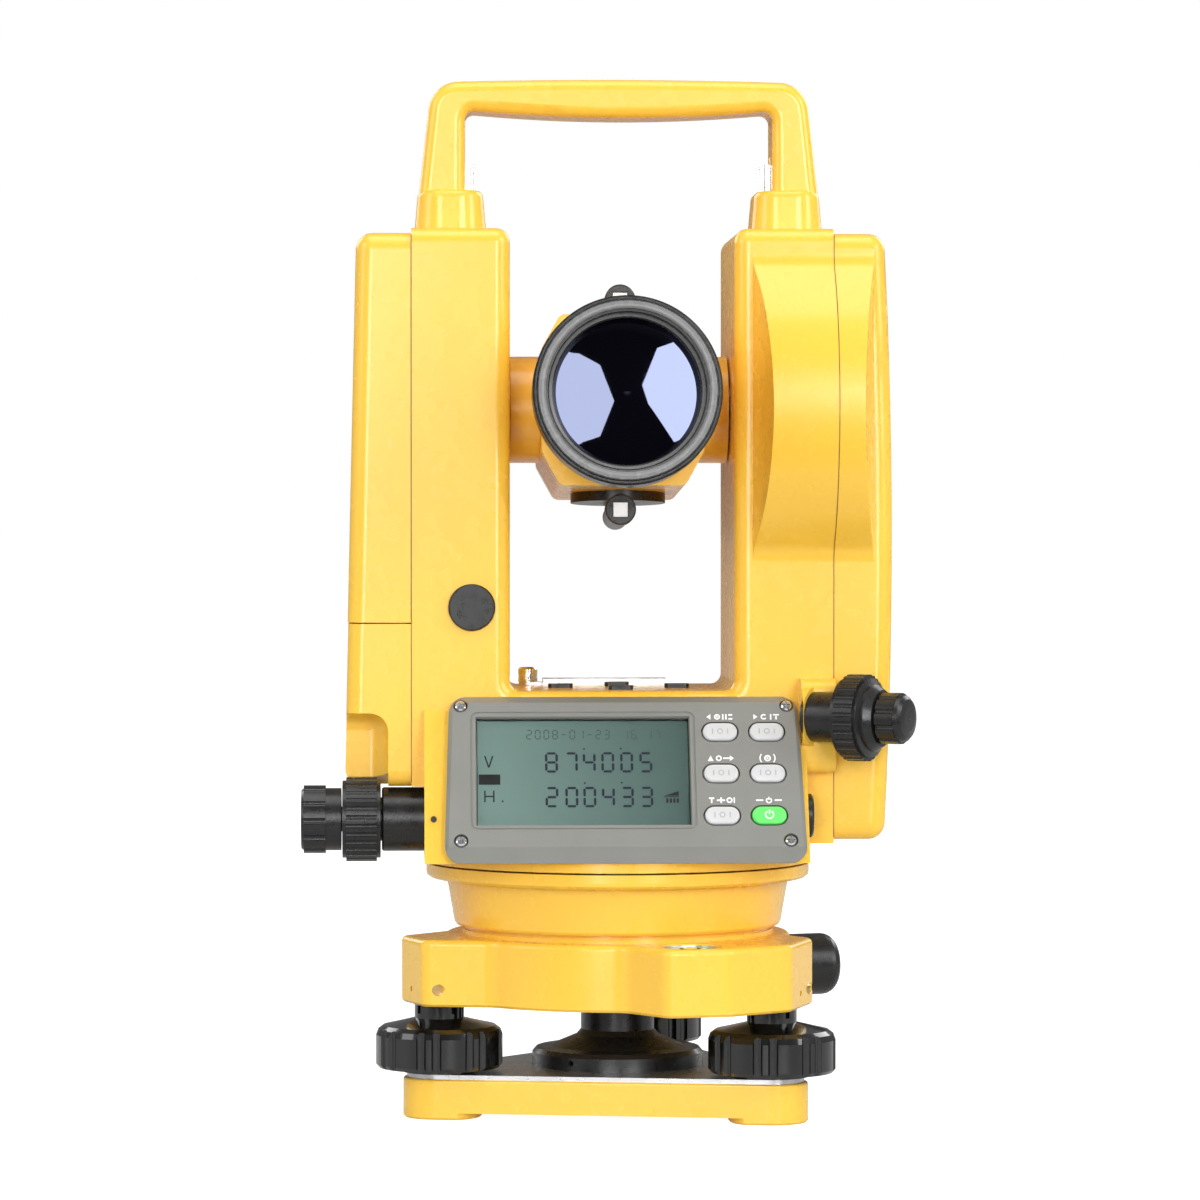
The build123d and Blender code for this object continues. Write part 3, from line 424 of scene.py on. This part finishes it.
LEGENDS = {
    "function_left": [
        triangle(-2.9, -1.3), *ring(-0.8), disc(-0.8, 0, 0.3, 12), bar(0.8, -0.95, 1.3, 0.95),
        bar(1.8, -0.95, 2.3, 0.95), bar(2.8, -0.95, 4.1, -0.45), bar(2.8, 0.4, 4.1, 0.95),
    ],
    "function_right": [
        triangle(-4.1, 1.3), *arc(-0.8, 0, 0.75, 0.45, 40, 330), bar(1.2, -0.95, 1.7, 0.95),
        bar(2.2, 0.45, 4.1, 0.95), bar(2.9, -0.95, 3.4, 0.3),
    ],
    "output": [
        [(-4.1, -0.95), (-2.3, -0.95), (-3.2, 0.95)], *ring(-0.6), bar(0.8, -0.25, 2.9, 0.25),
        triangle(2.9, 1.3),
    ],
    "light": [
        *arc(0, 0, 0.85, 0.5, 0, 360), disc(0, 0, 0.35, 12), *arc(0.2, 0, 2.2, 0.4, -40, 40, 6),
        *arc(-0.2, 0, 2.2, 0.4, 140, 220, 6),
    ],
    "measure": [
        bar(-4.1, 0.45, -2.4, 0.95), bar(-3.5, -0.95, -3.0, 0.4), bar(-1.6, -0.25, 1.0, 0.25),
        *ring(2.4), bar(3.7, -0.95, 4.1, 0.95), bar(-0.5, -0.95, 0, -0.3), bar(-0.5, 0.3, 0, 0.95),
    ],
    "power": [
        *arc(0, -0.1, 0.8, 0.42, -240, 60), bar(-0.2, 0.1, 0.2, 1.1), bar(-4.1, -0.25, -1.8, 0.25),
        bar(1.8, -0.25, 4.1, 0.25),
    ],
}
legends = []
for name, outlines in LEGENDS.items():
    x, v = KEY_SPOTS[name]
    legends += [moved(outline, x, v + 5.2) for outline in outlines]
prisms("key_legends", legends, -0.02, 0.05, on_panel, WHITE_INK, "alidade")

for name, (x, v) in KEY_SPOTS.items():
    if name == "power":
        marks = arc(0, 0, 1.3, 0.4, -240, 60) + [bar(-0.2, 0.3, 0.2, 1.7)]
        ink = WHITE_INK
    else:
        marks = [bar(-2.6, -0.9, -2.2, 0.9), bar(2.2, -0.9, 2.6, 0.9)] + arc(0, 0, 0.8, 0.35, 0, 360)
        ink = KEY_INK
    marks = [moved(outline, x, v) for outline in marks]
    prisms("mark_" + name, marks, 0.68, 0.73, on_panel, ink, "key_" + name)

def drum_reach(z):
    """How far the drum and its blends stand out from the trunnion's plane at a height, in mm."""
    offset = abs(z - 228.8)
    if offset < 43.55:
        return math.sqrt(59.5 ** 2 - offset ** 2)
    if offset < 49.4:
        return 46 - math.sqrt(64 - (49.4 - offset) ** 2)
    return 38.0


def joint_line(name, x, low, high, proud):
    """Fine dark joint down the front and back of a standard, round the drum where there is one."""
    heights = [low + (high - low) * i / 240 for i in range(241)]
    work = bmesh.new()
    for side in (-1, 1):
        rows = []
        for z in heights:
            y = side * ((drum_reach(z) if proud else 38.0) + 0.04)
            rows.append([work.verts.new(Vector((x + dx, y, z)) / 1000) for dx in (-0.16, 0.16)])
        for first, second in zip(rows, rows[1:]):
            work.faces.new((first[0], first[1], second[1], second[0]))
    mesh = bpy.data.meshes.new(name)
    work.to_mesh(mesh)
    work.free()
    mesh.materials.append(JOINT)
    piece = bpy.data.objects.new(name, mesh)
    bpy.context.scene.collection.objects.link(piece)
    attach(piece, "alidade")


joint_line("right_cover_joint", 67.8, 91, 284, True)
joint_line("left_cover_joint", -67.6, 109, 284, False)



def on_sight(side):
    """Plane of one sight's window; side is -1 below the telescope and 1 above it."""
    up = TELESCOPE_AXIS.cross(Vector((1, 0, 0))) * -1
    up = up if up.z > 0 else -up
    centre = TRUNNION + up * side * 0.034

    def place(x, v, depth):
        return centre + Vector((x / 1000, 0, 0)) + up * v / 1000 + TELESCOPE_AXIS * depth / 1000

    return place


# Pale glowing squares in the sight windows are painted light seen through the sights.
for side, name in ((-1, "lower"), (1, "upper")):
    window = [bar(-2.3, -2.3, 2.3, 2.3)]
    prisms(
        "sight_window_" + name, window, 20.1, 20.9, on_sight(side), SIGHT_GLASS_PAINTED_GLOW, "telescope",
    )

# Black rings at the bottom of the bezel screw counterbores are painted shade.
well_shade = []
for x in (-52, 52):
    for v in (23.1, -23.2):
        well_shade += arc(x, v, 2.0, 0.5, 0, 360, 28)
prisms("screw_well_shade", well_shade, -0.88, -0.84, on_panel, BLACK_INK_AND_SHADE, "alidade")


def hole_shade_disc(name, centre, facing, radius, body):
    """Black disc of painted shade at the bottom of a small drilled hole."""
    facing = Vector(facing).normalized()
    side = facing.cross(Vector((0, 0, 1))).normalized()
    up = side.cross(facing)
    centre = Vector(centre) / 1000

    def place(x, v, depth):
        return centre + (side * x + up * v + facing * depth) / 1000

    prisms(name, [disc(0, 0, radius, 20)], 0, 0.2, place, BLACK_INK_AND_SHADE, body)


# Black discs of painted shade in the small holes of the base and the alidade.
for name, angle, reach in (("right", -38, 63.5), ("left", 200, 70.5)):
    turn = math.radians(angle)
    way = (math.cos(turn), math.sin(turn), 0)
    hole_shade_disc("arm_hole_" + name, (reach * way[0], reach * way[1], 41.5), way, 0.88, "base")
hole_shade_disc("side_hole", (-60.6, -58, 98.3), (0, -1, 0), 0.97, "alidade")

VIAL_TURN = math.radians(-61.5 - 10.0)
VIAL_AT = (64 * math.cos(VIAL_TURN), 64 * math.sin(VIAL_TURN))
mark = arc(*VIAL_AT, 3.2, 0.45, 0, 360, 40)
prisms("circular_level_ring", mark, 57.3, 57.45, on_level, BLACK_INK_AND_SHADE, "base")
bubble = [disc(*VIAL_AT, 2.2, 32)]
prisms("circular_level_bubble", bubble, 57.3, 57.42, on_level, BUBBLE, "base")
bubble = [[(x * 2.6 - 3.5, y + 21) for x, y in disc(0, 0, 1.4, 24)]]
prisms("plate_level_bubble", bubble, 139.3, 139.75, on_level, BUBBLE, "alidade")
lines = [bar(x - 0.2, 19.6, x + 0.2, 22.4) for x in (-8.6, -7.2, 0.2, 1.6)]
prisms("plate_level_lines", lines, 139.5, 139.8, on_level, BLACK_INK_AND_SHADE, "alidade")

# --- studio --------------------------------------------------------------------------
DISTANCE = 1.6
EYE_HEIGHT = 0.195
YAW = math.radians(2.28)
SIDE_STEP = -0.00574
PITCH = math.radians(-1.02)
FOCAL_LENGTH = 146.4
FORWARD = Vector((math.sin(YAW), math.cos(YAW), 0))
RIGHT = Vector((math.cos(YAW), -math.sin(YAW), 0))
EYE = -FORWARD * DISTANCE + RIGHT * SIDE_STEP + Vector((0, 0, EYE_HEIGHT))

WORLD_STRENGTH = 0.42
PANEL_STRENGTH = 8.6
LENS_FRONT = 0.0704
LENS_CURVE = 0.113

scene = bpy.context.scene
scene.view_settings.view_transform = "Standard"
scene.view_settings.look = "None"


def glowing(name, colour, strength, base=0.0):
    """Studio surface that gives off light of its own."""
    shader = Shader(name)
    tone = shader.ramp(shader.noise(3.0, 2.0), 0, 1, 0.3, 0.7)
    second = tuple(0.99 * c for c in colour)
    shader.join(shader.blend(tone, colour, second), shader.bsdf.inputs["Emission Color"])
    shader.put(Base_Color=(base, base, base, 1), Roughness=0.6, Emission_Strength=strength)
    return shader.material


def staged(name, corners, material):
    """Flat studio sheet that isn't part of the instrument."""
    mesh = bpy.data.meshes.new(name)
    mesh.from_pydata([tuple(c) for c in corners], [], [list(range(len(corners)))])
    mesh.materials.append(material)
    sheet = bpy.data.objects.new(name, mesh)
    scene.collection.objects.link(sheet)


def mirrored(x, v, behind):
    """Where the camera sees the objective's surface reflect to, behind the camera."""
    centre = TRUNNION + TELESCOPE_AXIS * (LENS_FRONT - LENS_CURVE)
    up = Vector((0, 0, 1)) - TELESCOPE_AXIS * TELESCOPE_AXIS.z
    point = centre + (
        Vector((x, 0, 0)) + up.normalized() * v
        + TELESCOPE_AXIS * math.sqrt(LENS_CURVE ** 2 - x * x - v * v)
    )
    normal = (point - centre).normalized()
    ray = (point - EYE).normalized()
    out = ray - 2 * ray.dot(normal) * normal
    return point + out * ((-behind - point.y) / out.y)


def light_panel(name, outline, strength):
    """Softbox sheet whose reflection in the objective has this outline, in millimetres."""
    corners = [mirrored(x / 1000, v / 1000, 1.9) for x, v in outline]
    staged(name, corners, glowing(name, (0.98, 0.99, 1.0), strength))


def softbox(name, place, target, size, power):
    """Soft rectangular lamp aimed at a point."""
    lamp = bpy.data.lights.new(name, "AREA")
    lamp.shape = "RECTANGLE"
    lamp.size, lamp.size_y = size
    lamp.energy = power
    holder = bpy.data.objects.new(name, lamp)
    holder.location = place
    aim = Vector(target) - Vector(place)
    holder.rotation_euler = aim.to_track_quat("-Z", "Y").to_euler()
    scene.collection.objects.link(holder)


def camera():
    """Long-lens camera in front of the instrument, a couple of degrees to one side."""
    data = bpy.data.cameras.new("camera")
    data.sensor_width = 36
    data.lens = FOCAL_LENGTH
    data.clip_start = 0.05
    data.clip_end = 200
    holder = bpy.data.objects.new("camera", data)
    holder.location = EYE
    look = FORWARD * math.cos(PITCH) + Vector((0, 0, math.sin(PITCH)))
    holder.rotation_euler = look.to_track_quat("-Z", "Y").to_euler()
    scene.collection.objects.link(holder)
    scene.camera = holder


def world_light():
    """White backdrop for the camera, soft light elsewhere and darkness behind the camera."""
    world = bpy.data.worlds.new("studio")
    scene.world = world
    world.use_nodes = True
    tree = world.node_tree
    background = tree.nodes["Background"]
    coords = tree.nodes.new("ShaderNodeTexCoord")
    parts = tree.nodes.new("ShaderNodeSeparateXYZ")
    ramp = tree.nodes.new("ShaderNodeMapRange")
    ramp.inputs["From Min"].default_value = -0.88
    ramp.inputs["From Max"].default_value = -0.6
    ramp.inputs["To Min"].default_value = 0.02
    ramp.inputs["To Max"].default_value = WORLD_STRENGTH
    back = tree.nodes.new("ShaderNodeMapRange")
    back.inputs["From Min"].default_value = 0.1
    back.inputs["From Max"].default_value = 0.8
    back.inputs["To Min"].default_value = 1.0
    back.inputs["To Max"].default_value = 0.45
    product = tree.nodes.new("ShaderNodeMath")
    product.operation = "MULTIPLY"
    tree.links.new(coords.outputs["Generated"], parts.inputs["Vector"])
    tree.links.new(parts.outputs["Y"], ramp.inputs["Value"])
    tree.links.new(parts.outputs["Y"], back.inputs["Value"])
    tree.links.new(ramp.outputs["Result"], product.inputs[0])
    tree.links.new(back.outputs["Result"], product.inputs[1])
    seen = tree.nodes.new("ShaderNodeLightPath")
    mix = tree.nodes.new("ShaderNodeMix")
    tree.links.new(seen.outputs["Is Camera Ray"], mix.inputs["Factor"])
    tree.links.new(product.outputs["Value"], mix.inputs["A"])
    mix.inputs["B"].default_value = 1.0
    background.inputs["Color"].default_value = (1, 1, 1, 1)
    tree.links.new(mix.outputs["Result"], background.inputs["Strength"])


def white_floor():
    """Pale floor that the camera sees as white and that lights the instrument only a little."""
    material = glowing("floor_white", (1, 1, 1), 0.9, 0.35)
    tree = material.node_tree
    seen = tree.nodes.new("ShaderNodeLightPath")
    glow = tree.nodes.new("ShaderNodeMapRange")
    glow.inputs["To Min"].default_value = 0.22
    glow.inputs["To Max"].default_value = 0.95
    tree.links.new(seen.outputs["Is Camera Ray"], glow.inputs["Value"])
    strength = tree.nodes["Principled BSDF"].inputs["Emission Strength"]
    tree.links.new(glow.outputs["Result"], strength)
    staged("floor", [(-40, -0.34, 0), (40, -0.34, 0), (40, 40, 0), (-40, 40, 0)], material)


white_floor()
camera()
light_panel(
    "panel_left",
    [(-19.5, 12.4), (-15.1, 12.1), (-8.5, 8.4), (-4.1, -3.0), (-8.5, -14), (-16.4, -16.6),
     (-23, -8), (-23, 6)],
    PANEL_STRENGTH,
)
light_panel(
    "panel_right",
    [(4.7, 2.0), (9.5, 13.8), (15, 15.8), (20.6, 10), (22.7, -2), (18.6, -13), (14.6, -15.5),
     (6.6, -3.8)],
    1.25 * PANEL_STRENGTH,
)
softbox("side_left", (-1.6, -0.7, 0.9), (0, 0, 0.17), (0.7, 1.2), 8)
softbox("side_right", (1.6, -0.9, 0.9), (0, 0, 0.17), (0.7, 1.2), 13)
softbox("top", (0, -0.3, 1.8), (0, 0, 0.1), (1.2, 1.2), 11)
softbox("rear_left", (-1.3, 1.5, 1.1), (0, 0, 0.17), (1.0, 1.2), 12)
softbox("rear_right", (1.3, 1.5, 1.1), (0, 0, 0.17), (1.0, 1.2), 12)
world_light()
